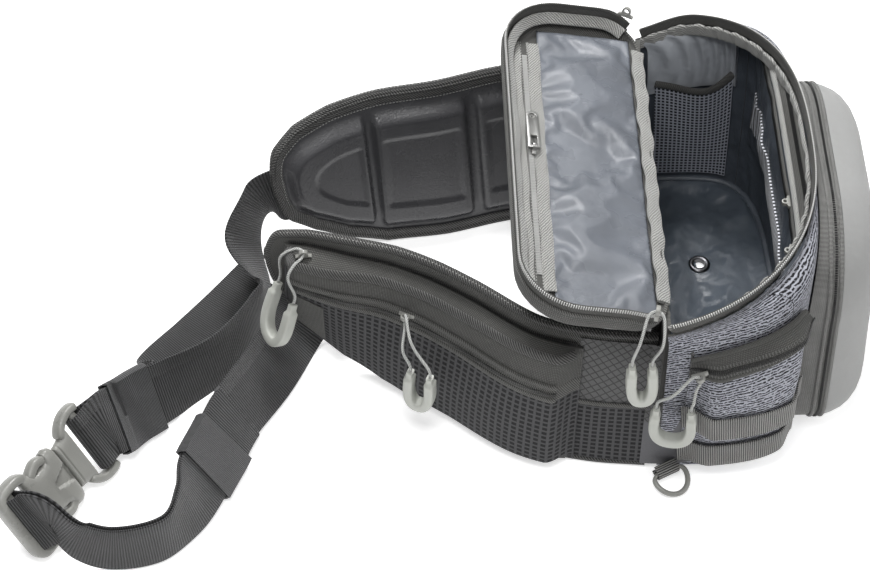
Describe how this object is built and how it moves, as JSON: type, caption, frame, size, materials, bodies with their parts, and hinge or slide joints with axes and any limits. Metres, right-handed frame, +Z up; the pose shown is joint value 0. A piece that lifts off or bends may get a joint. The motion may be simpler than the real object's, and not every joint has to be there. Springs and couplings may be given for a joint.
{
  "type": "hip pack",
  "caption": "Roomy hip pack with a lid laid open, padded wings with zip pockets, a moulded front pocket and a buckled waist strap.",
  "frame": {"origin": "centre of the underside of the main compartment, on the surface the pack rests on", "axes": "+X away from the wearer's back, -Y the wearer's left, +Z up"},
  "size_m": [0.633, 0.3833, 0.2078],
  "materials": {
    "cloth": "warm grey woven cloth with a ripstop grid",
    "bottom_cloth": "coated cloth, satin",
    "lining_cloth": "smooth wrinkled lining, satin",
    "mesh_cloth": "open mesh",
    "knit_cloth": "bumpy knit over a dark ground",
    "zip_tape": "woven tape with a coil",
    "binding_tape": "brushed tape",
    "shell_foam": "cloth on moulded foam, matte",
    "pad_foam": "cloth on moulded foam, satin",
    "webbing": "ribbed webbing",
    "elastic": "elastic band",
    "buckle_plastic": "satin moulded plastic",
    "metal": "satin metal",
    "slider_plastic": "satin",
    "pull_cord": "braided cord",
    "pull_plastic": "satin moulded plastic"
  },
  "bodies": {
    "pack": {"side_panel_left": "cloth", "side_panel_right": "cloth", "front_panel": "cloth", "back_panel": "cloth", "wing_pocket_left": "cloth", "wing_pocket_right": "cloth", "lid_shell": "cloth", "bottom_panel": "bottom_cloth", "lid_lining": "lining_cloth", "front_inner_pocket": "lining_cloth", "end_pocket": "mesh_cloth", "side_pocket_left": "knit_cloth", "side_pocket_right": "knit_cloth", "rim_zip_tape": "zip_tape", "front_zip_band": "zip_tape", "lid_zip_tape": "zip_tape", "lid_pocket_zip": "zip_tape", "side_zip_left": "zip_tape", "side_zip_right": "zip_tape", "lid_hinge_binding": "binding_tape", "front_shell": "shell_foam", "wing_pad_left": "pad_foam", "wing_pad_right": "pad_foam", "back_pad": "pad_foam", "side_webbing_upper_left": "webbing", "side_webbing_lower_left": "webbing", "side_webbing_upper_right": "webbing", "side_webbing_lower_right": "webbing", "strap_left": "webbing", "strap_right": "webbing", "d_ring_loop_left": "webbing", "keeper_left": "elastic", "keeper_right": "elastic", "buckle_socket": "buckle_plastic", "buckle_plug": "buckle_plastic", "lid_pocket_slider": "metal", "inner_puller_near": "metal", "inner_puller_far": "metal", "drain_grommet": "metal", "wing_top_slider": "slider_plastic", "wing_side_slider": "slider_plastic", "main_slider_left": "slider_plastic", "main_slider_right": "slider_plastic", "side_slider_left": "slider_plastic", "wing_top_cord": "pull_cord", "wing_side_cord": "pull_cord", "main_pull_cord": "pull_cord", "side_pull_cord": "pull_cord", "wing_top_handle": "pull_plastic", "wing_side_handle": "pull_plastic", "main_pull_handle": "pull_plastic", "side_pull_handle": "pull_plastic"},
    "ring": {"d_ring_left": "buckle_plastic"},
    "tab": {"lid_pull_tab": "metal"}
  },
  "joints": [
    {"name": "ring_lift", "type": "hinge", "parent": "pack", "child": "ring", "pos_m": [-0.046, -0.1506, 0.0084], "axis": [-0.8924, -0.4512, 0], "range_deg": [0, 55]},
    {"name": "tab_lift", "type": "hinge", "parent": "pack", "child": "tab", "pos_m": [-0.1407, 0.01, 0.1882], "axis": [0.9836, 0, -0.1805], "range_deg": [0, 150]}
  ]
}
